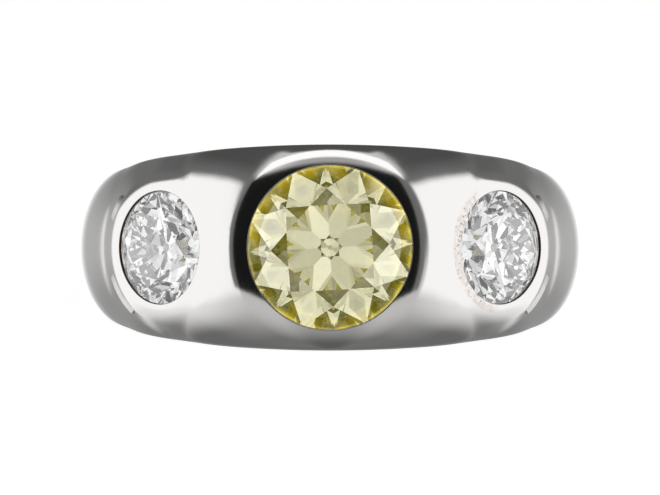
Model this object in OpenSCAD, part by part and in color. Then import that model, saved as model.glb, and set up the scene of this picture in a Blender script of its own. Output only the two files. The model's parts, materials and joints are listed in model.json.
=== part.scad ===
// Gypsy ring with a large round stone between two smaller ones, sunk flush in one band.
// The ring lies on the flat of its side, as it rests by itself: that flat is the plane Z = 0,
// the finger hole runs nearly upright, and the head with the large stone faces -Y.
// Lengths are in millimetres and angles in degrees.

/* [Finger hole] */
// Diameter of the finger hole
finger_d = 16.5; // [15:0.1:20]
// Width of the ease that softens both rims of the finger hole
hole_ease = 0.2; // [0.1:0.02:0.3]

/* [Band] */
// Metal from the finger hole to the crest of the band at the head, over the middle of the stone
head_wall = 4.05; // [3.8:0.01:4.3]
// Metal from the finger hole to the crest at the two sides of the ring
side_wall = 2.05; // [1.6:0.01:2.4]
// Metal from the finger hole to the crest at the back of the ring
back_wall = 1.75; // [1.3:0.01:2.2]
// Rise of the widest line of the band above the finger hole, at the head
head_edge = 2.6; // [2.3:0.01:3]
// The same rise at the two sides
side_edge = 0.46; // [0.4:0.01:0.7]
// The same rise at the back
back_edge = 0.6; // [0.4:0.01:0.9]
// Width of the band across its two flats, at the widest line of the head
head_w = 8.15; // [7.8:0.05:9]
// Width across the two flats at the back
back_w = 2.9; // [2.6:0.02:4]
// Fullness of the rounded outside at the head: 2 is an ellipse, more is squarer
head_full = 2; // [1.9:0.1:3]
// Fullness at the two sides and the back
shank_full = 2; // [1.9:0.1:3]
// Metal filed off each rounded side to make it flat
side_trim = 0.1; // [0.05:0.01:0.2]

/* [Collar of the centre stone] */
// Width of the burnished lip between the opening and the outside of the collar
collar_lip = 0.23; // [0.12:0.01:0.35]
// Radius that rounds the outside of the lip
collar_round = 0.12; // [0.06:0.01:0.2]
// Slope of the flank of the collar
collar_slope = 36; // [34:1:60]

/* [Flats of the side stones] */
// Place of the middle of each flat round the ring, from the middle of the head
flat_angle = 36.7; // [35:0.1:39]
// Lean of each flat, from the direction that the centre stone faces
flat_lean = 42; // [40:0.1:45]
// Depth of the middle of each flat under the crest of the band
flat_dip = 0.25; // [0.1:0.01:0.4]
// Width of the flat metal round each side stone
rim_w = 0.38; // [0.2:0.02:0.5]
// Slope of the edge that drops from the flat to the band
rim_slope = 40; // [35:1:75]

/* [Centre stone] */
// Diameter at the girdle
centre_d = 6.8; // [6:0.05:7]
// Table across its corners, as a share of the diameter
centre_table = 0.545; // [0.45:0.005:0.6]
// Slope of the crown mains
centre_crown = 37.5; // [32:0.5:38]
// Culet across its corners, as a share of the diameter
centre_culet = 0.03; // [0.02:0.005:0.1]
// Turn of the stone in its seat
centre_turn = 3.2; // [0:0.1:22.5]
// Depth of the girdle under the rim of the collar
centre_sink = 0.35; // [0.3:0.01:0.6]

/* [Side stones] */
// Diameter at the girdle
side_d = 4.75; // [4.2:0.05:4.9]
// Table across its corners, as a share of the diameter
side_table = 0.56; // [0.4:0.005:0.6]
// Slope of the crown mains
side_crown = 36; // [32:0.5:38]
// Culet across its corners, as a share of the diameter
side_culet = 0.08; // [0.02:0.005:0.1]
// Turn of the left stone in its seat
left_turn = 10; // [0:0.5:45]
// Turn of the right stone in its seat
right_turn = 15; // [0:0.5:45]
// Depth of the girdle under the flat
side_sink = 0.28; // [0.26:0.01:0.5]

/* [Cut of the stones] */
// Slope of the pavilion mains
pavilion_slope = 40.25; // [38:0.25:41.5]
// Reach of the star facets from the table's edge to the girdle, as a share
star_reach = 0.4; // [0.3:0.01:0.6]
// Reach of the lower halves from the girdle to the culet, as a share
lower_reach = 0.67; // [0.5:0.01:0.8]
// Thickness of the girdle, as a share of the diameter
girdle_share = 0.018; // [0.01:0.002:0.04]

/* [Seats] */
// Overlap of the burnished lip on the stone, past the girdle
lip_over = 0.08; // [0.05:0.01:0.12]
// Gap between a stone and its seat
seat_gap = 0.03; // [0.02:0.005:0.05]
// Least distance from a culet to the finger hole
culet_clear = 0.33; // [0.15:0.01:0.5]
// Width of the open back under each stone, as a share of its diameter
open_back = 0.78; // [0.6:0.01:0.85]

/* [Hidden] */
METAL = [0.80, 0.80, 0.81];
YELLOW = [0.86, 0.82, 0.42];
WHITE = [0.88, 0.91, 0.92];
BAND_STEPS = 96;       // sections of the band round the finger
DOME_STEPS = 18;       // steps across the rounded outside in each section
ROUND_STEPS = 6;       // steps of each rounding in a turned profile
MAINS = 8;             // crown mains, and as many pavilion mains
PITCH = 360 / MAINS;
GIRDLE_STEPS = 64;     // sides of the girdle
FAR = 40;              // size of a cutting block, past the whole ring
BITE = 0.6;            // reach of the sections inside the finger hole, which is bored after
FINE = 128;

finger_r = finger_d / 2;
edge_head_r = finger_r + head_edge;
edge_back_r = finger_r + back_edge;
taper = (head_w - back_w) / 2 / (edge_head_r + edge_back_r);
mid_half = head_w / 2 - taper * edge_head_r;
lie_tilt = atan(taper);

// A value that runs smoothly round the ring through its values at head, sides and back
function around(head, side, back, a) =
    (head + 2 * side + back) / 4 + (head - back) / 2 * cos(a)
    + (head - 2 * side + back) / 4 * cos(2 * a);

function crest_r(a) = finger_r + around(head_wall, side_wall, back_wall, a);
function edge_r(a) = finger_r + around(head_edge, side_edge, back_edge, a);
function fullness(a) = around(head_full, shank_full, shank_full, a);

// Half the width between the two flats, at radius r and angle a from the head
function flat_half(r, a) = mid_half + taper * r * cos(a);

// Sizes of a round stone, measured from the middle of its girdle
function girdle_half(d) = d * girdle_share / 2;
function pavilion_depth(d, culet) =
    girdle_half(d) + d / 2 * (1 - culet * cos(PITCH / 2)) * tan(pavilion_slope);
function table_height(d, table, crown) = girdle_half(d) + d / 2 * (1 - table) * tan(crown);

centre_open_r = centre_d / 2 - lip_over;
side_open_r = side_d / 2 - lip_over;
centre_h = finger_r + culet_clear + pavilion_depth(centre_d, centre_culet);
collar_h = centre_h + centre_sink;
flat_r = crest_r(flat_angle) - flat_dip;

// The stretch of the ring from front to back as it lies, which sets the middle of its footprint
table_front = (centre_h + table_height(centre_d, centre_table, centre_crown)) * cos(lie_tilt)
    + centre_d / 2 * centre_table * sin(lie_tilt);
back_dome = back_wall - back_edge;
back_reach = edge_back_r * cos(lie_tilt)
    + norm([back_dome * cos(lie_tilt), (back_w / 2 + side_trim) * sin(lie_tilt)]);
footprint_shift = (table_front - back_reach) / 2;

// One section of the band at angle a, as points [radius, height along the finger]
function dome_point(t, n, rise, half) =
    [pow(sin(t), 2 / n) * rise, sign(cos(t)) * pow(abs(cos(t)), 2 / n) * half];

function band_section(a) =
    let (edge = edge_r(a), rise = crest_r(a) - edge, n = fullness(a),
         half = flat_half(edge, a) + side_trim,
         hidden_r = finger_r - BITE,
         hidden_half = flat_half(hidden_r, a) + side_trim)
    concat(
        [for (i = [0 : DOME_STEPS])
            let (p = dome_point(180 * i / DOME_STEPS, n, rise, half))
            [edge + p[0], p[1]]],
        [[hidden_r, -hidden_half], [hidden_r, hidden_half]]);

// The band before it is filed flat and bored: a closed loft round the finger
module band_loft() {
    count = DOME_STEPS + 3;
    points = [for (i = [0 : BAND_STEPS - 1])
        let (a = 360 * i / BAND_STEPS)
        for (p = band_section(a)) [p[0] * sin(a), -p[0] * cos(a), p[1]]];
    faces = [for (i = [0 : BAND_STEPS - 1])
        let (here = i * count, next = ((i + 1) % BAND_STEPS) * count)
        for (j = [0 : count - 1])
            let (k = (j + 1) % count)
            for (f = [[here + j, next + j, next + k], [here + j, next + k, here + k]]) f];
    polyhedron(points, faces);
}

// Takes a stone's frame, with its table up, to its place in the head of the ring
module at_centre(h) { rotate([90, 0, 0]) translate([0, 0, h]) children(); }

// Takes the frame of a side flat to its place, with the flat at height 0; side is -1 for the left
module at_side(side) {
    translate([side * flat_r * sin(flat_angle), -flat_r * cos(flat_angle), 0])
        rotate([0, 0, side * flat_lean]) rotate([90, 0, 0]) children();
}

// Points of an arc about c, from angle from to angle to
function arc(c, r, from, to) =
    [for (i = [0 : ROUND_STEPS])
        let (t = from + (to - from) * i / ROUND_STEPS)
        [c[0] + r * cos(t), c[1] + r * sin(t)]];

// The low collar that is burnished over the centre stone, turned about the stone's axis
module collar() {
    out_r = centre_open_r + collar_lip;
    round_c = [out_r - collar_round, collar_h - collar_round];
    lip = arc(round_c, collar_round, 90 - collar_slope, 90);
    foot_h = edge_head_r * cos(flat_angle / 2) - BITE;
    foot_r = lip[0][0] + (lip[0][1] - foot_h) / tan(collar_slope);
    rotate_extrude($fn = FINE)
        polygon(concat([[0, foot_h], [foot_r, foot_h]], lip, [[0, collar_h]]));
}

// The low boss that carries the flat past the crest of the band, turned about the stone's axis
module side_boss() {
    top = side_open_r + rim_w;
    drop = side_wall / 4;
    rotate_extrude($fn = FINE)
        polygon([[0, -drop], [top + drop / tan(rim_slope), -drop], [top, 0], [0, 0]]);
}

// The block of air that planes the band down to the flat of a side stone
module planed(side) {
    reach = side_open_r + 2 * rim_w;
    translate([-reach, -FAR / 2, 0]) cube([2 * reach, FAR, FAR / 4]);
}

// What is bored out for one stone, in its frame: opening, bearing and open back
module seat(d, crown, back) {
    g = girdle_half(d);
    out = d / 2 + seat_gap;
    open = d / 2 - lip_over;
    hole = d / 2 * open_back;
    rise = (out - open) * tan(crown) + seat_gap;
    fall = (out - hole) * tan(pavilion_slope);
    rotate_extrude($fn = FINE)
        polygon([[0, -back], [hole, -back], [hole, -g - seat_gap - fall],
                 [out, -g - seat_gap], [out, g + seat_gap], [open, g + seat_gap + rise],
                 [open, FAR], [0, FAR]]);
}

// The ease round one rim of the finger hole, turned about the normal of that side of the band
module hole_rim(side) {
    out = finger_r / cos(lie_tilt) + hole_ease;
    drop = hole_ease * 0.4;
    knee = out - drop / tan(35);
    run = 4 * hole_ease;
    rotate([-side * lie_tilt, 0, 0])
        translate([0, -side * mid_half * sin(lie_tilt), side * mid_half * cos(lie_tilt)])
            mirror([0, 0, side < 0 ? 1 : 0])
                rotate_extrude($fn = FINE)
                    polygon([[0, -drop - run * tan(60)], [knee - run, -drop - run * tan(60)],
                             [knee, -drop], [out, 0], [out, 1], [0, 1]]);
}

// Half of space beyond one flat side of the band
module beyond_side(side) {
    rotate([-side * lie_tilt, 0, 0])
        translate([-FAR, -FAR, side > 0 ? mid_half * cos(lie_tilt) : -mid_half * cos(lie_tilt) - FAR])
            cube([2 * FAR, 2 * FAR, FAR]);
}

// The metal: one band with its collar and flats, filed to its taper and bored for finger and stones
module band() {
    color(METAL)
    difference() {
        union() {
            difference() {
                band_loft();
                for (side = [-1, 1]) at_side(side) planed(side);
            }
            at_centre(0) collar();
            for (side = [-1, 1]) at_side(side) side_boss();
        }
        for (side = [-1, 1]) {
            beyond_side(side);
            hole_rim(side);
            at_side(side) translate([0, 0, -side_sink]) seat(side_d, side_crown, flat_r / 2);
        }
        translate([0, 0, -FAR / 2]) cylinder(r = finger_r, h = FAR, $fn = FINE);
        at_centre(centre_h) seat(centre_d, centre_crown, centre_h);
    }
}

// Corners of a facet ring: one for each main, the first at azimuth from
function corners(r, h, from) =
    [for (i = [0 : MAINS - 1]) [r * cos(from + i * PITCH), r * sin(from + i * PITCH), h]];

// One edge of the girdle, waved by the halves that meet it between the tips of the mains
function girdle_edge(r, g, slope, up) =
    [for (i = [0 : GIRDLE_STEPS - 1])
        let (a = i * 360 / GIRDLE_STEPS,
             off = (a + PITCH / 4) % (PITCH / 2) - PITCH / 4,
             wave = r * (cos(PITCH / 4 - abs(off)) - cos(PITCH / 4)) * tan(slope))
        [r * cos(a), r * sin(a), up * (g - wave)]];

// A round brilliant of the old kind: 33 facets over the girdle and 25 under it
module round_stone(d, table, crown, culet, tint) {
    r = d / 2;
    g = girdle_half(d);
    half = PITCH / 2;
    quarter = PITCH / 4;
    star_r = r * (table * cos(half) * (1 - star_reach) + star_reach);
    star_h = g + (r - star_r * cos(half)) * tan(crown);
    upper_slope = atan((star_h - g) / (r * cos(quarter) - star_r * cos(quarter)));
    lower_r = r * (1 - lower_reach);
    lower_h = g + (r - lower_r * cos(half)) * tan(pavilion_slope);
    lower_slope = atan((lower_h - g) / (r * cos(quarter) - lower_r * cos(quarter)));
    points = concat(
        corners(r * table, table_height(d, table, crown), 0),
        corners(star_r, star_h, half),
        girdle_edge(r, g, upper_slope, 1),
        girdle_edge(r, g, lower_slope, -1),
        corners(lower_r, -lower_h, half),
        corners(r * culet, -pavilion_depth(d, culet), half));
    color(tint) hull() polyhedron(points, [[for (i = [0 : len(points) - 1]) i]]);
}

module centre_stone() {
    at_centre(centre_h) rotate([0, 0, centre_turn + PITCH / 2])
        round_stone(centre_d, centre_table, centre_crown, centre_culet, YELLOW);
}

module left_stone() {
    at_side(-1) translate([0, 0, -side_sink]) rotate([0, 0, left_turn])
        round_stone(side_d, side_table, side_crown, side_culet, WHITE);
}

module right_stone() {
    at_side(1) translate([0, 0, -side_sink]) rotate([0, 0, right_turn])
        round_stone(side_d, side_table, side_crown, side_culet, WHITE);
}

// Lays the ring on its flat side, with the middle of its footprint at the origin
module laid() {
    translate([0, footprint_shift, mid_half * cos(lie_tilt)]) rotate([-lie_tilt, 0, 0]) children();
}

laid() band();
laid() centre_stone();
laid() left_stone();
laid() right_stone();
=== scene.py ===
# The looks of a three-stone gypsy ring: polished white metal, one pale yellow stone, two white ones.
import json
from math import atan2, cos, pi, radians, sin, tan

import bpy
import numpy as np
from mathutils import Matrix, Vector
from mathutils.geometry import delaunay_2d_cdt


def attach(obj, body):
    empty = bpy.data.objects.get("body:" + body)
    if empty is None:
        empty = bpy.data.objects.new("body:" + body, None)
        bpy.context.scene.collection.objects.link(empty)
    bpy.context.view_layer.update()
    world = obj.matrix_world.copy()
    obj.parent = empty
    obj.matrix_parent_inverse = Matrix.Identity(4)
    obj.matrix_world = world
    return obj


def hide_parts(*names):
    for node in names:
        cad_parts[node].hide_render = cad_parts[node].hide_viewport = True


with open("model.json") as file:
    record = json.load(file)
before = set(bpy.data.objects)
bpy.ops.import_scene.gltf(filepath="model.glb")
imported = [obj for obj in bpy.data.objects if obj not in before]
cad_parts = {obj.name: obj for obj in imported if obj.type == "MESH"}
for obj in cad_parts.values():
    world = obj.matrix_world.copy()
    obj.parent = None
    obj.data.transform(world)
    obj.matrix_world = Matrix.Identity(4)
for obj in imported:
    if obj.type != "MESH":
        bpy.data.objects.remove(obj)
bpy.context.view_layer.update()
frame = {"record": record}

# How the ring lies: on one flat side, so that its finger hole leans a little and its head looks up.
# The ring's own frame has the finger along Z, the head towards -Y and lengths in millimetres. The
# finger hole's mount and the width of the band say where it is.
MM = 0.001
head_w = 8.15
head_edge = 2.6
bore = next(mount for mount in frame["record"]["mounts"] if mount["name"] == "finger_bore")
finger_r = bore["dims"]["r_mm"]
finger_axis = Vector(bore["axis"])
lean = atan2(finger_axis.y, finger_axis.z)
taper = tan(lean)
mid_half = head_w / 2 - taper * (finger_r + head_edge)
bore_place = Vector(bore["pos_m"])
middle = bore_place + finger_axis * ((mid_half * cos(lean) * MM - bore_place.z) / finger_axis.z)
ring_frame = Matrix.Translation(middle) @ Matrix.Rotation(-lean, 4, "X") @ Matrix.Scale(MM, 4)

# The camera faces the centre stone squarely, as in the photograph, from a long way off. Its picture
# is view_width millimetres wide at the ring's middle.
camera_distance = 300
view_width = 27.68
sensor_width = 36
camera_data = bpy.data.cameras.new("camera")
camera_data.sensor_width = sensor_width
camera_data.lens = sensor_width * camera_distance / view_width
camera_data.clip_start = 0.01
camera = bpy.data.objects.new("camera", camera_data)
camera.location = ring_frame @ Vector((0, -camera_distance, 0))
camera.rotation_euler = (pi / 2 - lean, 0, 0)
bpy.context.collection.objects.link(camera)
bpy.context.scene.camera = camera


# The light: a white tent with an opening for the camera, a lamp over the opening and a grey floor,
# drawn on the sky by direction in the ring's frame. Turn is the angle from the camera to either side
# and rise the angle upwards, both in degrees.
class Value:
    """One output of a node tree. Python's operators on it add the Math nodes."""

    def __init__(self, tree, socket):
        self.tree = tree
        self.socket = socket

    def node(self, kind, settings, inputs):
        """Adds any node: its settings first, then its sockets, each from a number or a link."""
        node = self.tree.nodes.new(kind)
        for name, setting in settings.items():
            setattr(node, name, setting)
        for key, given in inputs.items():
            if isinstance(given, Value):
                self.tree.links.new(given.socket, node.inputs[key])
            else:
                node.inputs[key].default_value = given
        return node

    def out(self, node, key=0):
        return Value(self.tree, node.outputs[key])

    def math(self, operation, *values):
        inputs = dict(enumerate(values))
        return self.out(self.node("ShaderNodeMath", {"operation": operation}, inputs))

    def __add__(self, other):
        return self.math("ADD", self, other)

    def __sub__(self, other):
        return self.math("SUBTRACT", self, other)

    def __mul__(self, other):
        return self.math("MULTIPLY", self, other)

    def __truediv__(self, other):
        return self.math("DIVIDE", self, other)

    def __rsub__(self, other):
        return self.math("SUBTRACT", other, self)

    __radd__ = __add__
    __rmul__ = __mul__

    def __abs__(self):
        return self.math("ABSOLUTE", self)

    def past(self, edge, soft):
        """0 below the edge and 1 above it, through a soft step of that width."""
        inputs = {"Value": self, "From Min": edge - soft / 2, "From Max": edge + soft / 2}
        settings = {"interpolation_type": "SMOOTHSTEP"}
        return self.out(self.node("ShaderNodeMapRange", settings, inputs))

    def between(self, low, high, soft):
        return self.past(low, soft) * (1 - self.past(high, soft))

    def turned_to(self, other, mask):
        """This value where the mask is 0, the other where it is 1."""
        return self + (other - self) * mask

    def noise(self, scale, detail):
        """Noise at this place or in this direction, scale being its grains in a metre or a radian."""
        inputs = {"Vector": self, "Scale": scale, "Detail": detail}
        return self.out(self.node("ShaderNodeTexNoise", {}, inputs))

    def along(self, axis):
        """How far this place lies along an axis, which is a unit vector."""
        settings = {"operation": "DOT_PRODUCT"}
        return self.out(self.node("ShaderNodeVectorMath", settings, {0: self, 1: tuple(axis)}), "Value")

    def within(self, matrix):
        """This place in a frame, in millimetres: along its X, Y and Z, and away from its Z axis."""
        axes = [matrix.col[k].xyz.normalized() for k in range(3)]
        x, y, z = ((self.along(axis) - axis.dot(matrix.translation)) / MM for axis in axes)
        away = x * x + y * y
        return x, y, z, away.math("SQRT", away)

    def mixed(self, first, second):
        """A colour that is the first where this mask is 0 and the second where it is 1."""
        inputs = {"Factor": self, "A": first, "B": second}
        return self.out(self.node("ShaderNodeMix", {"data_type": "RGBA"}, inputs), "Result")


world = bpy.data.worlds.new("tent")
bpy.context.scene.world = world
world.use_nodes = True
sky = world.node_tree
sky.nodes.clear()
start = Value(sky, None)
direction = start.out(start.node("ShaderNodeTexCoord", {}, {}), "Generated")
axes = start.node("ShaderNodeSeparateXYZ", {}, {0: direction})
east, north, up = (start.out(axes, k) for k in range(3))
facing = up * sin(lean) - north * cos(lean)
above = north * sin(lean) + up * cos(lean)
bearing = east.math("ARCTAN2", east, facing) * (180 / pi)
turn = abs(bearing)
rise = above.math("ARCSINE", above) * (180 / pi)

# Floor and roof. The floor is paler further out, and a little darker under the ring.
NEAR_FLOOR, FAR_FLOOR, ROOF, ROOF_EDGE = 0.19, 0.165, 0.085, 0.175
own_shadow = 0.35 * (1 - turn.past(16, 20)) * (1 - rise.past(-24, 8))
near_floor = (NEAR_FLOOR + 0.43 * rise.past(-42, 34)) * (1 - own_shadow)
far_floor = FAR_FLOOR + 0.75 * rise.past(-34, 18)
roof = ROOF_EDGE + (ROOF - ROOF_EDGE) * rise.past(40, 16)
tent = near_floor.turned_to(far_floor, turn.past(62, 30)).turned_to(roof, rise.past(-2, 20))

# White side walls from SIDE_TURN on, whose tops slope down to the back, and the grey wall behind.
WHITE_WALL, BACK_WALL, SIDE_TURN, BACK_TURN = 1.15, 0.24, 52, 136
past_side = turn - 92
wall_top = 32 - 0.5 * past_side.math("MAXIMUM", past_side, 0)
walls = turn.between(SIDE_TURN, BACK_TURN + 1, 6) * rise.past(-22, 8)
walls = walls * (1 - (rise - wall_top).past(0, 5))
tent = tent.turned_to(WHITE_WALL, walls)
eye_level = 1 - abs(rise - 1).past(8, 14)
back_wall = BACK_WALL + 0.1 * rise.past(-24, 14) + eye_level * (0.16 + 0.35 * turn.past(164, 14))
tent = tent.turned_to(back_wall, turn.past(BACK_TURN - 2, 8) * rise.between(-70, 18, 14))

# The opening, a little to the left of the camera, its grey frame and the cloth over it.
FRAME_GREY, OPENING_DARK, OPENING_MIDDLE, OPENING_HALF, FRAME_HALF = 0.17, 0.01, -5, 45, 52
aside = abs(bearing - OPENING_MIDDLE)
over_sill = rise.past(-19, 3)
frame_mask = (1 - aside.past(FRAME_HALF, 3)) * over_sill * (1 - rise.past(36, 6))
tent = tent.turned_to(FRAME_GREY, frame_mask)
opening_mask = (1 - aside.past(OPENING_HALF, 3)) * over_sill * (1 - rise.past(35, 5))
tent = tent.turned_to(OPENING_DARK, opening_mask)
cloth = 0.42 + 0.25 * turn.past(25, 30)
tent = tent.turned_to(cloth, (1 - turn.past(52, 6)) * rise.past(37, 5))

# The lamp over it: a level band, which is straight on a flat wall before the ring, and the dark above.
LAMP, LAMP_BOTTOM, LAMP_TOP, LAMP_HALF = 1.25, 1.03, 1.82, 1.12
depth = facing.math("MAXIMUM", facing, 0.001)
wall_height = above / depth
wall_side = abs(east) / depth
lamp = wall_height.between(LAMP_BOTTOM, LAMP_TOP, 0.12) * (1 - wall_side.past(LAMP_HALF, 0.1))
tent = tent.turned_to(LAMP, lamp * facing.past(0, 0.01))
over_lamp = (1 - turn.past(75, 20)) * rise.past(62, 4) * wall_height.past(LAMP_TOP + 0.05, 0.12)
tent = tent.turned_to(ROOF, over_lamp)

# The stones are lit by many small lamps round the camera, which the metal is shaded from. The star
# facets look at a dark ring 20 degrees off the camera, and those by the girdle at one of 35 degrees.
STONE_LIGHT, RING_LIGHT, RING_DARK = 1.2, 0.95, 0.015
off_axis = facing.math("ARCCOSINE", facing) * (180 / pi)
inner_ring = off_axis.between(18.8, 22, 0.8)
outer_ring = off_axis.between(31, 40, 1)
patches = 0.6 + 0.4 * direction.noise(7, 1).past(0.5, 0.2)
lamps = STONE_LIGHT * patches * (0.86 + 0.26 * off_axis.between(12, 18, 1.5))
inner_light = RING_DARK + 0.5 * RING_LIGHT * direction.noise(14, 1).past(0.5, 0.1)
outer_light = RING_DARK + RING_LIGHT * direction.noise(12, 1).past(0.55, 0.06)
lamps = lamps.turned_to(inner_light, inner_ring).turned_to(outer_light, outer_ring)

path = start.node("ShaderNodeLightPath", {}, {})
tent = tent.turned_to(lamps, start.out(path, "Is Transmission Ray"))

# The camera itself sees a plain white backdrop.
BACKDROP = 1
tent = tent.turned_to(BACKDROP, start.out(path, "Is Camera Ray"))
glow = start.node("ShaderNodeBackground", {}, {"Color": tent, "Strength": 1.0})
start.node("ShaderNodeOutputWorld", {}, {"Surface": start.out(glow)})

# The floor: a plain white sheet, which glows a little so that it stays as pale as the tent.
# The metal mirrors the tent's own floor and not this one.
floor_size = 3
FLOOR_GLOW = 0.86
FLOOR_WHITE = 0.5
floor_mesh = bpy.data.meshes.new("floor")
corners = [(x * floor_size / 2, y * floor_size / 2, 0) for x, y in ((-1, -1), (1, -1), (1, 1), (-1, 1))]
floor_mesh.from_pydata(corners, [], [(0, 1, 2, 3)])
floor = bpy.data.objects.new("floor", floor_mesh)
bpy.context.collection.objects.link(floor)
sheet = bpy.data.materials.new("white_sheet")
sheet.use_nodes = True
sheet.node_tree.nodes.clear()
start = Value(sheet.node_tree, None)
matt = start.out(start.node("ShaderNodeBsdfDiffuse", {}, {"Color": (FLOOR_WHITE,) * 3 + (1,)}))
light = start.out(start.node("ShaderNodeEmission", {}, {"Color": (1, 1, 1, 1), "Strength": FLOOR_GLOW}))
both = start.out(start.node("ShaderNodeAddShader", {}, {0: matt, 1: light}))
start.node("ShaderNodeOutputMaterial", {}, {"Surface": both})
floor_mesh.materials.append(sheet)
floor.visible_glossy = False
floor.visible_transmission = False
floor.visible_diffuse = False

# The band: cast in platinum in one piece, rounded outside and filed flat at its two sides. Each stone
# is sunk to its girdle and the metal is pushed over it, as a low collar at the middle one. Lengths
# are in millimetres and angles in degrees, and a row's values are at the head, the sides and the back.
crest_walls = (4.05, 2.05, 1.75)
edge_rises = (head_edge, 0.46, 0.6)
side_trim = 0.1
edge_round = 0.14
hole_round = 0.16

centre_d = 6.8
centre_culet = 0.03
centre_sink = 0.35
culet_clear = 0.33
side_d = 4.75
side_sink = 0.28
pavilion_slope = 40.25
girdle_share = 0.018
lip_over = 0.08
seat_gap = 0.03
open_back = 0.78
centre_crown = 37.5
side_crown = 36

collar_lip = 0.23
collar_round = 0.12
collar_slope = 36
collar_depth = 2.8
collar_foot = 1.8
collar_blend = 0.9
flat_angle = 36.7
flat_lean = 42
flat_dip = 0.25
flat_crease = 0.05
rim_w = 0.38
rim_slope = 40
rim_round = 0.3
rim_depth = 2
rim_foot = 1
rim_blend = 0.28
lip_bevel = 0.05

main_angle = radians(360 / 8 / 2)
centre_depth = (centre_d * girdle_share / 2
                + centre_d / 2 * (1 - centre_culet * cos(main_angle)) * tan(radians(pavilion_slope)))
centre_h = finger_r + culet_clear + centre_depth
collar_h = centre_h + centre_sink
collar_r = centre_d / 2 - lip_over + collar_lip
rim_r = side_d / 2 - lip_over + rim_w


def around(row, a):
    """The value at angle a from the head, which runs smoothly through those of the row."""
    head, side, back = row
    return ((head + 2 * side + back) / 4 + (head - back) / 2 * np.cos(a)
            + (head - 2 * side + back) / 4 * np.cos(2 * a))


flat_r = finger_r + around(crest_walls, radians(flat_angle)) - flat_dip


def lower(a, b, r):
    """The lower of two distances, with the corner between them filled to radius r."""
    return np.maximum(np.minimum(a, b), r) - np.hypot(np.maximum(r - a, 0), np.maximum(r - b, 0))


def higher(a, b, r):
    return -lower(-a, -b, r)


def dome(x, y, z):
    """Distance above the rounded outside of the band, before anything is filed."""
    a = np.arctan2(x, -y)
    edge = finger_r + around(edge_rises, a)
    rise = finger_r + around(crest_walls, a) - edge
    half = mid_half + taper * edge * np.cos(a) + side_trim
    u = np.maximum(np.hypot(x, y) - edge, 1e-6) / rise
    v = z / half
    m = np.hypot(u, v)
    return (m - 1) * m / np.hypot(u / rise, v / half)


def on_flat(side, x, y, z):
    """Distance from a side stone's axis, and height above its flat."""
    place, tilt = radians(flat_angle), radians(flat_lean)
    dx = x - side * flat_r * sin(place)
    dy = y + flat_r * cos(place)
    out = dx * side * sin(tilt) - dy * cos(tilt)
    along = dx * side * cos(tilt) + dy * sin(tilt)
    return np.hypot(along, z), out


def turned(rho, h, top_r, top_h, slope, rounding, depth, foot_round):
    """Distance above a turned boss: a level top with a rounded edge and a sloping flank."""
    s = radians(slope)
    flank = (rho - top_r) * sin(s) + (h - top_h) * cos(s)
    return higher(higher(h - top_h, flank, rounding), top_h - depth - h, foot_round)


def metal(x, y, z):
    """Distance above the whole band, its bore included: negative in the metal."""
    f = dome(x, y, z)
    for side in (-1, 1):
        f = higher(f, on_flat(side, x, y, z)[1], flat_crease)
    for side in (-1, 1):
        rho, h = on_flat(side, x, y, z)
        boss = turned(rho, h, rim_r, 0, rim_slope, rim_round, rim_depth, rim_foot)
        f = lower(f, boss, rim_blend)
    collar = turned(np.hypot(x, z), -y, collar_r, collar_h, collar_slope, collar_round,
                    collar_depth, collar_foot)
    f = lower(f, collar, collar_blend)
    for side in (-1, 1):
        f = higher(f, side * z * cos(lean) + y * sin(lean) - mid_half * cos(lean), edge_round)
    return higher(f, finger_r - np.hypot(x, y), hole_round)


def normals_of(points):
    """Unit normals of the band's surface, from small steps to both sides."""
    step = 2e-3
    columns = []
    for axis in range(3):
        shift = np.zeros(3)
        shift[axis] = step
        columns.append(metal(*(points + shift).T) - metal(*(points - shift).T))
    n = np.stack(columns, 1)
    return n / np.linalg.norm(n, axis=1, keepdims=True)


def first_hit(start, step, low, high, tries=34):
    """Where rays from start along step leave the metal, between the two lengths given."""
    low = np.full(len(start), float(low))
    high = np.full(len(start), float(high))
    for _ in range(tries):
        middle = (low + high) / 2
        inside = metal(*(start + step * middle[:, None]).T) < 0
        low = np.where(inside, middle, low)
        high = np.where(inside, high, middle)
    return start + step * low[:, None]


# Lines of the mesh: closed loops round the metal at each angle a from the head, finer at the head
# and wherever the section turns sharply. Each loop starts on the lower flat side and is found by
# rays from a heart line inside the metal, at HEART of its thickness.
HEAD_STEP, SHANK_STEP, HEAD_END = 0.75, 1.5, 60
HEART, LOOP_REACH = 0.4, 6
LOOP_POINTS = 176
DENSE = 720
LOOP_START = radians(-112)
TURN_WEIGHT = 0.55
angles = np.radians(np.concatenate([
    np.arange(-180, -HEAD_END, SHANK_STEP), np.arange(-HEAD_END, HEAD_END, HEAD_STEP),
    np.arange(HEAD_END, 180, SHANK_STEP)]))
heart_r = finger_r + HEART * around(crest_walls, angles)


def loop_points(sweep, where):
    """Points of the surface at loop angles sweep, one row for each angle of the ring."""
    a, centre = angles[where][:, None], heart_r[where][:, None]
    out = np.stack([np.sin(a) * np.cos(sweep), -np.cos(a) * np.cos(sweep), np.sin(sweep)], 2)
    heart = np.stack([centre * np.sin(a), -centre * np.cos(a), 0 * a], 2) + 0 * out
    found = first_hit(heart.reshape(-1, 3), out.reshape(-1, 3), 0, LOOP_REACH)
    return found.reshape(out.shape)


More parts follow.
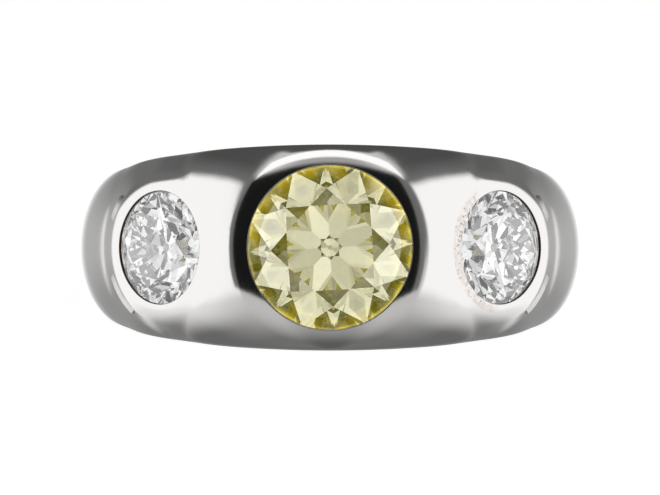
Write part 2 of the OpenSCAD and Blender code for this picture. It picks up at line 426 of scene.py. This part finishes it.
every = np.arange(len(angles))
dense = np.broadcast_to(LOOP_START + np.arange(DENSE + 1) * 2 * pi / DENSE, (len(angles), DENSE + 1))
contour = loop_points(dense, every)
steps = np.diff(contour, axis=1)
lengths = np.linalg.norm(steps, axis=2)
directions = steps / lengths[..., None]
bends = np.arccos(np.clip((directions * np.roll(directions, 1, 1)).sum(2), -1, 1))
bends = (bends + np.roll(bends, -1, 1)) / 2
weights = lengths + TURN_WEIGHT * bends
total = np.concatenate([np.zeros((len(angles), 1)), np.cumsum(weights, 1)], 1)
sweeps = np.array([
    np.interp(np.arange(LOOP_POINTS) / LOOP_POINTS * t[-1], t, d) for t, d in zip(total, dense)])
grid = loop_points(sweeps, every)

# Round each stone the grid is cut away, outside and in the bore, and filled with rings about the
# stone's axis. A turned seat joins the two: lip, groove for the girdle, bearing and open back.
STONE_STEPS, BEVEL_STEPS = 144, 3
RING_STEPS = (0.03, 0.07, 0.12, 0.18, 0.26, 0.36, 0.48, 0.62, 0.78, 0.96)
BACK_STEPS = (0.06, 0.16, 0.32)
CUT_OUTSIDE, CUT_IN_BORE = 0.45, 0.4
GRID_MARGIN = 0.45
SEAT_REACH = 3


def stone_frame(side):
    """The frame of a stone with its table up: the middle one's at the ring's middle."""
    if side == 0:
        return Matrix.Rotation(pi / 2, 4, "X")
    place = radians(flat_angle)
    at = (side * flat_r * sin(place), -flat_r * cos(place), 0)
    return (Matrix.Translation(at) @ Matrix.Rotation(side * radians(flat_lean), 4, "Z")
            @ Matrix.Rotation(pi / 2, 4, "X"))


class Mesh:
    """Points and faces of the band as they are gathered, with a normal at each face's corners."""

    def __init__(self):
        self.points = []
        self.faces = []
        self.normals = []

    def add_points(self, points):
        first = len(self.points)
        self.points += [tuple(p) for p in points]
        return np.arange(first, first + len(points))

    def strip(self, upper, under, upper_n, under_n):
        """Quads between two closed rings of point numbers."""
        count = len(upper)
        for k in range(count):
            n = (k + 1) % count
            self.faces.append((upper[k], upper[n], under[n], under[k]))
            self.normals += [upper_n[k], upper_n[n], under_n[n], under_n[k]]


ring_theta = np.arange(STONE_STEPS) * 2 * pi / STONE_STEPS
band = Mesh()
grid_ids = band.add_points(grid.reshape(-1, 3)).reshape(grid.shape[:2])
kept = np.ones(grid.shape[:2], bool)


def to_index(points):
    """Places of points on the grid: fractions of its columns and rows."""
    a = np.arctan2(points[:, 0], -points[:, 1])
    column = np.interp(a, angles, every)
    low = np.floor(column).astype(int)
    share = column - low
    rows = []
    for p, c, s, k in zip(points, low, share, a):
        loop = sweeps[c] * (1 - s) + sweeps[min(c + 1, len(angles) - 1)] * s
        heart = finger_r + HEART * around(crest_walls, k)
        sweep = atan2(p[2], np.hypot(p[0], p[1]) - heart)
        sweep = (sweep - LOOP_START) % (2 * pi) + LOOP_START
        rows.append(np.interp(sweep, loop, np.arange(LOOP_POINTS)))
    return np.stack([column, np.array(rows)], 1)


def fill_round(rings, first_column, last_column, reach, outer):
    """Fills a rectangle of the grid round a ring of points, the first of the rings given."""
    middle = (first_column + last_column) // 2
    loop = grid[middle]
    far = np.hypot(loop[:, 0], loop[:, 1]) > heart_r[middle]
    rows = np.flatnonzero((np.abs(loop[:, 2]) < reach) & (far if outer else ~far))
    first_row, last_row = rows[0], rows[-1]
    kept[first_column:last_column, first_row:last_row] = False
    columns = range(first_column, last_column)
    across = range(first_row, last_row)
    border = ([(c, first_row) for c in columns] + [(last_column, r) for r in across]
              + [(c, last_row) for c in range(last_column, first_column, -1)]
              + [(first_column, r) for r in range(last_row, first_row, -1)])
    numbers = [grid_ids[c, r] for c, r in border]
    places = [Vector(b) for b in border]
    edges = [(k, (k + 1) % len(border)) for k in range(len(border))]
    opening = set()
    for level, ring in enumerate(rings):
        ids = band.add_points(ring)
        index = to_index(ring)
        inside = ((index > (first_column + GRID_MARGIN, first_row + GRID_MARGIN))
                  & (index < (last_column - GRID_MARGIN, last_row - GRID_MARGIN))).all(1)
        if level == 0:
            first = len(numbers)
            opening = set(range(first, first + len(ring)))
            edges += [(first + k, first + (k + 1) % len(ring)) for k in range(len(ring))]
            inside[:] = True
            open_ids = ids
        for k in np.flatnonzero(inside):
            numbers.append(ids[k])
            places.append(Vector(index[k]))
    made = delaunay_2d_cdt(places, edges, [], 0, 1e-7)
    source = [group[0] for group in made[3]]
    for face in made[2]:
        corner = [source[k] for k in face]
        if all(k in opening for k in corner):
            continue
        band.faces.append(tuple(numbers[k] for k in corner))
        band.normals += [None] * len(corner)
    return open_ids


def seat(side, d, crown, sink_h, columns):
    """Opens the band for one stone, whose girdle's middle is at sink_h on its axis."""
    place = np.array(stone_frame(side))
    axis = place[:3, 2]
    radial = np.cos(ring_theta)[:, None] * place[:3, 0] + np.sin(ring_theta)[:, None] * place[:3, 1]
    foot = place[:3, 3] + axis * sink_h

    def ring_at(rho, h):
        return foot + radial * rho + axis * np.reshape(h, (-1, 1))

    def hit(rho):
        return first_hit(ring_at(rho, 0), np.broadcast_to(axis, (STONE_STEPS, 3)), 0, SEAT_REACH)

    girdle = d * girdle_share / 2
    open_r = d / 2 - lip_over
    out_r = d / 2 + seat_gap
    hole_r = d / 2 * open_back
    rise = (out_r - open_r) * tan(radians(crown)) + seat_gap
    fall = (out_r - hole_r) * tan(radians(pavilion_slope))
    rings = [hit(open_r + lip_bevel + more) for more in (0,) + RING_STEPS]
    first_column, last_column = columns
    top = fill_round(rings, first_column, last_column, open_r + CUT_OUTSIDE, True)
    top_h = (rings[0] - foot) @ axis

    def bore_ring(rho):
        flat_axis = axis[:2]
        start = (foot + radial * rho)[:, :2]
        b = start @ flat_axis
        c = (start ** 2).sum(1) - finger_r ** 2
        return -b + np.sqrt(b * b - c)

    back_rings = [ring_at(hole_r + hole_round / 2 + more, bore_ring(hole_r + hole_round / 2 + more))
                  for more in (0,) + BACK_STEPS]
    bottom = fill_round(back_rings, first_column, last_column, hole_r + CUT_IN_BORE, False)
    bottom_h = (back_rings[0] - foot) @ axis

    def turned_normal(inward, upward):
        return -radial * inward + axis * upward

    ids, upper_n = top, normals_of(rings[0])
    for k in range(BEVEL_STEPS):
        t = (k + 1) / BEVEL_STEPS * pi / 2
        below = band.add_points(
            ring_at(open_r + lip_bevel * (1 - sin(t)), top_h - lip_bevel * (1 - cos(t))))
        under_n = turned_normal(sin(t), cos(t))
        band.strip(ids, below, upper_n, under_n)
        ids, upper_n = below, under_n
    wall = [(open_r, girdle + seat_gap + rise), (out_r, girdle + seat_gap),
            (out_r, -girdle - seat_gap), (hole_r, -girdle - seat_gap - fall)]
    runs = [Vector((0, -1))] + [(Vector(b) - Vector(a)).normalized() for a, b in zip(wall, wall[1:])]
    for (rho, h), run in zip(wall, runs):
        n = turned_normal(-run.y, -run.x)
        below = band.add_points(ring_at(rho, h))
        band.strip(ids, below, n, n)
        ids = below
    edge = band.add_points(ring_at(hole_r, bottom_h + hole_round / 2))
    n = turned_normal(1, 0)
    band.strip(ids, edge, n, n)
    band.strip(edge, bottom, n, normals_of(back_rings[0]))


def column(a):
    """The grid's column nearest to that many degrees from the head."""
    return int(np.argmin(np.abs(angles - radians(a))))


centre_reach, side_inner, side_outer = 19.5, 20.25, 52.5
seat(0, centre_d, centre_crown, centre_h, (column(-centre_reach), column(centre_reach)))
seat(-1, side_d, side_crown, -side_sink, (column(-side_outer), column(-side_inner)))
seat(1, side_d, side_crown, -side_sink, (column(side_inner), column(side_outer)))

for c, r in np.argwhere(kept):
    c2, r2 = (c + 1) % len(angles), (r + 1) % LOOP_POINTS
    band.faces.append((grid_ids[c, r], grid_ids[c2, r], grid_ids[c2, r2], grid_ids[c, r2]))
    band.normals += [None] * 4

points = np.array(band.points)
smooth = normals_of(points)
used = np.unique(np.concatenate([np.array(f) for f in band.faces]))
renumber = np.full(len(points), -1)
renumber[used] = np.arange(len(used))
faces = [tuple(int(renumber[k]) for k in face) for face in band.faces]
corner_points = [k for face in band.faces for k in face]
corner_normals = [tuple(smooth[k] if n is None else n) for n, k in zip(band.normals, corner_points)]

band_mesh = bpy.data.meshes.new("polished_band")
band_mesh.from_pydata(points[used].tolist(), [], faces)
band_mesh.shade_smooth()
band_mesh.normals_split_custom_set(corner_normals)
band_mesh.transform(ring_frame)
polished_band = bpy.data.objects.new("polished_band", band_mesh)
bpy.context.collection.objects.link(polished_band)

METAL = (0.80, 0.79, 0.78, 1)
PITTED = (0.74, 0.68, 0.64, 1)
PIT = (0.42, 0.38, 0.36, 1)
# Painted shade: the dark colour laid in the groove round each stone.
GROOVE_SHADE_COLOUR = (0.06, 0.04, 0.025, 1)
SMOOTHEST, UNEVEN = 0.06, 0.06
WAVE_HEIGHT, WAVE_SCALE = 5e-6, 420
SCRATCH_HEIGHT, SCRATCH_SCALE = 4e-7, 6000
platinum = bpy.data.materials.new("polished_platinum")
platinum.use_nodes = True
platinum.node_tree.nodes.clear()
start = Value(platinum.node_tree, None)
place = start.out(start.node("ShaderNodeTexCoord", {}, {}), "Object")

# The rim of the right stone is pitted and a little brown on the side towards the middle stone.
PITTED_FROM, PITTED_TO = 2.3, 2.68
rim_x, rim_y, rim_z, rim_reach = place.within(ring_frame @ stone_frame(1))
crescent = rim_reach.between(PITTED_FROM, PITTED_TO, 0.12) * rim_z.past(-0.8, 0.4)
crescent = crescent * (1 - (rim_x + 0.25 * rim_y).past(-0.9, 0.8))
worn = crescent * (0.25 + 0.6 * place.noise(4000, 2).past(0.5, 0.2))
pits = crescent * place.noise(9000, 2).past(0.62, 0.06)

# A dark line of painted shade lies in the groove round each stone, over its girdle.
GROOVE_SHADE_REACH = 0.02
groove_shade = 0
for side, d, girdle_h in ((0, centre_d, centre_h), (-1, side_d, -side_sink), (1, side_d, -side_sink)):
    _, _, height, away = place.within(ring_frame @ stone_frame(side))
    in_groove = 1 - away.past(d / 2 - lip_over + GROOVE_SHADE_REACH, GROOVE_SHADE_REACH)
    groove_shade = in_groove * height.past(girdle_h, 0.02) + groove_shade
# The metal's colour, with the pitted, worn crescent and the painted shade in the grooves.
tint = groove_shade.mixed(pits.mixed(worn.mixed(METAL, PITTED), PIT), GROOVE_SHADE_COLOUR)
rough = SMOOTHEST + UNEVEN * place.noise(1500, 4) + 0.2 * worn + 0.3 * groove_shade
relief = WAVE_HEIGHT * place.noise(WAVE_SCALE, 1) + SCRATCH_HEIGHT * place.noise(SCRATCH_SCALE, 3)
bump = start.node("ShaderNodeBump", {}, {"Height": relief, "Distance": 1.0, "Strength": 1.0})
shine = start.node("ShaderNodeBsdfPrincipled", {}, {
    "Base Color": tint, "Metallic": 1.0, "Roughness": rough, "Normal": start.out(bump)})
start.node("ShaderNodeOutputMaterial", {}, {"Surface": start.out(shine)})
band_mesh.materials.append(platinum)
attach(polished_band, "root")
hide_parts("band")

# The stones: diamonds, cut by one rule as round brilliants of the old kind, with a small table and a
# blunt culet, and held by the metal that is pushed over their girdles. Each is the hull of its
# facets' corners, so every facet is a true plane.
MAINS, GIRDLE_STEPS = 8, 64


def brilliant_tree():
    """The node tree that cuts a round stone from its proportions."""
    tree = bpy.data.node_groups.new("round_brilliant", "GeometryNodeTree")
    tree.interface.new_socket("Geometry", in_out="OUTPUT", socket_type="NodeSocketGeometry")
    names = ("Diameter", "Table", "Crown", "Pavilion", "Star Reach", "Lower Reach", "Culet",
             "Girdle", "Turn")
    for name in names:
        tree.interface.new_socket(name, in_out="INPUT", socket_type="NodeSocketFloat")
    tree.interface.new_socket("Material", in_out="INPUT", socket_type="NodeSocketMaterial")
    start = Value(tree, None)
    given = start.node("NodeGroupInput", {}, {})
    value = {name: start.out(given, name) for name in names}
    half, quarter = pi / MAINS, pi / MAINS / 2

    r = value["Diameter"] * 0.5
    g = value["Diameter"] * value["Girdle"] * 0.5
    crown = value["Crown"].math("TANGENT", value["Crown"])
    pavilion = value["Pavilion"].math("TANGENT", value["Pavilion"])
    star_r = r * (value["Table"] * cos(half) * (1 - value["Star Reach"]) + value["Star Reach"])
    star_h = g + (r - star_r * cos(half)) * crown
    upper_tan = (star_h - g) / (r * cos(quarter) - star_r * cos(quarter))
    lower_r = r * (1 - value["Lower Reach"])
    lower_h = g + (r - lower_r * cos(half)) * pavilion
    lower_tan = (lower_h - g) / (r * cos(quarter) - lower_r * cos(quarter))
    table_r = r * value["Table"]
    table_h = g + (r - table_r) * crown
    culet_r = r * value["Culet"]
    culet_h = g + (r - culet_r * cos(half)) * pavilion

    def at(x, y, z):
        return start.out(start.node("ShaderNodeCombineXYZ", {}, {0: x, 1: y, 2: z}))

    def ring(count, radius, height, angle):
        circle = start.out(start.node("GeometryNodeMeshCircle", {}, {
            "Vertices": count, "Radius": radius}))
        return start.out(start.node("GeometryNodeTransform", {}, {
            "Geometry": circle, "Translation": at(0, 0, height), "Rotation": at(0, 0, angle)}))

    def girdle_ring(slope_tan, upward):
        place = start.out(start.node("GeometryNodeInputIndex", {}, {})) * (2 * pi / GIRDLE_STEPS)
        off = place.math("PINGPONG", place, quarter)
        wave = r * ((quarter - off).math("COSINE", quarter - off) - cos(quarter)) * slope_tan
        return start.out(start.node("GeometryNodeSetPosition", {}, {
            "Geometry": ring(GIRDLE_STEPS, r, 0, 0), "Offset": at(0, 0, (g - wave) * upward)}))

    rings = [ring(MAINS, table_r, table_h, 0), ring(MAINS, star_r, star_h, half),
             girdle_ring(upper_tan, 1), girdle_ring(lower_tan, -1),
             ring(MAINS, lower_r, lower_h * -1, half), ring(MAINS, culet_r, culet_h * -1, half)]
    join = start.node("GeometryNodeJoinGeometry", {}, {})
    for piece in rings:
        tree.links.new(piece.socket, join.inputs[0])
    hull = start.out(start.node("GeometryNodeConvexHull", {}, {0: start.out(join)}))
    turned_hull = start.out(start.node("GeometryNodeTransform", {}, {
        "Geometry": hull, "Rotation": at(0, 0, value["Turn"])}))
    flat = start.out(start.node("GeometryNodeSetShadeSmooth", {}, {
        "Geometry": turned_hull, "Shade Smooth": False}))
    real = start.out(start.node("GeometryNodeRealizeInstances", {}, {"Geometry": flat}))
    painted = start.out(start.node("GeometryNodeSetMaterial", {}, {
        "Geometry": real, "Material": start.out(given, "Material")}))
    start.node("NodeGroupOutput", {}, {"Geometry": painted})
    return tree


IOR = 2.42


def diamond(name, colour, density, painted_glow):
    """Clear diamond, whose body colour is in its depth, with a painted glow: emission that stands in
    for the light its seat throws back. Gives the material and its shader."""
    material = bpy.data.materials.new(name)
    material.use_nodes = True
    material.node_tree.nodes.clear()
    start = Value(material.node_tree, None)
    glass = start.node("ShaderNodeBsdfPrincipled", {}, {
        "Base Color": (1, 1, 1, 1), "Roughness": 0.0, "IOR": IOR, "Transmission Weight": 1.0,
        "Emission Color": painted_glow, "Emission Strength": 1.0})
    tint = start.node("ShaderNodeVolumeAbsorption", {}, {"Color": colour, "Density": density})
    start.node("ShaderNodeOutputMaterial", {}, {"Surface": start.out(glass), "Volume": start.out(tint)})
    return material, glass


cutting = brilliant_tree()


def cut_stone(name, node, material, place, sizes):
    """Cuts one stone with the tree, sets it in its seat and puts it in the place of its solid."""
    holder = bpy.data.objects.new(name + "_blank", bpy.data.meshes.new(name + "_blank"))
    bpy.context.collection.objects.link(holder)
    modifier = holder.modifiers.new("cut", "NODES")
    modifier.node_group = cutting
    sockets = {s.name: s.identifier for s in cutting.interface.items_tree
               if s.item_type == "SOCKET" and s.in_out == "INPUT"}
    for key, size in sizes.items():
        modifier[sockets[key]] = size
    modifier[sockets["Material"]] = material
    bpy.context.view_layer.update()
    ready = holder.evaluated_get(bpy.context.evaluated_depsgraph_get())
    mesh = bpy.data.meshes.new_from_object(ready)
    holder.modifiers.clear()
    bpy.data.objects.remove(holder)
    mesh.name = name
    mesh.transform(ring_frame @ place)
    stone = bpy.data.objects.new(name, mesh)
    bpy.context.collection.objects.link(stone)
    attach(stone, "root")
    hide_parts(node)


YELLOW, YELLOW_DENSITY = (0.69, 0.67, 0.26, 1), 72
WHITE, WHITE_DENSITY = (0.9, 0.93, 0.92, 1), 30
# Painted glows: the stones' emission colours, which stand in for light thrown back by their seats.
YELLOW_GLOW = (0.024, 0.022, 0.001, 1)
GOLDEN_GLOW = (0.24, 0.18, 0.004, 1)
WHITE_GLOW = (0.028, 0.028, 0.028, 1)
white, _ = diamond("white_diamond", WHITE, WHITE_DENSITY, WHITE_GLOW)
yellow, yellow_glass = diamond("yellow_diamond", YELLOW, YELLOW_DENSITY, YELLOW_GLOW)

# The middle stone's painted glow is more golden in patches near its girdle: emitted light, not the
# stone's colour.
GLOW_PATCHES_FROM = 2.9
start = Value(yellow.node_tree, None)
place = start.out(start.node("ShaderNodeTexCoord", {}, {}), "Object")
away = place.within(ring_frame @ stone_frame(0))[3]
golden_glow_patches = away.past(GLOW_PATCHES_FROM, 1) * place.noise(900, 1).past(0.5, 0.12)
# Painted glow colour of the middle stone, fed to its emission.
stone_glow_colour = golden_glow_patches.mixed(YELLOW_GLOW, GOLDEN_GLOW)
yellow.node_tree.links.new(stone_glow_colour.socket, yellow_glass.inputs["Emission Color"])

centre_turn, left_turn, right_turn = 25.7, 10, 15
centre_table, side_table, side_culet = 0.545, 0.56, 0.08
star_reach, lower_reach = 0.4, 0.67
shared = {"Pavilion": radians(pavilion_slope), "Star Reach": star_reach, "Lower Reach": lower_reach,
          "Girdle": girdle_share}
cut_stone("centre_brilliant", "centre_stone", yellow,
          stone_frame(0) @ Matrix.Translation((0, 0, centre_h)),
          shared | {"Diameter": centre_d, "Table": centre_table, "Crown": radians(centre_crown),
                    "Culet": centre_culet, "Turn": radians(centre_turn)})
for side, name, node, turn in ((-1, "left_brilliant", "left_stone", left_turn),
                               (1, "right_brilliant", "right_stone", right_turn)):
    cut_stone(name, node, white,
              stone_frame(side) @ Matrix.Translation((0, 0, -side_sink)),
              shared | {"Diameter": side_d, "Table": side_table, "Crown": radians(side_crown),
                        "Culet": side_culet, "Turn": radians(turn)})

# Colour is shown as it is rendered, and light may bounce often inside the stones.
bpy.context.scene.view_settings.view_transform = "Standard"
INSIDE_BOUNCES, MIRROR_BOUNCES = 24, 8
bpy.context.scene.cycles.max_bounces = INSIDE_BOUNCES
bpy.context.scene.cycles.transmission_bounces = INSIDE_BOUNCES
bpy.context.scene.cycles.glossy_bounces = MIRROR_BOUNCES
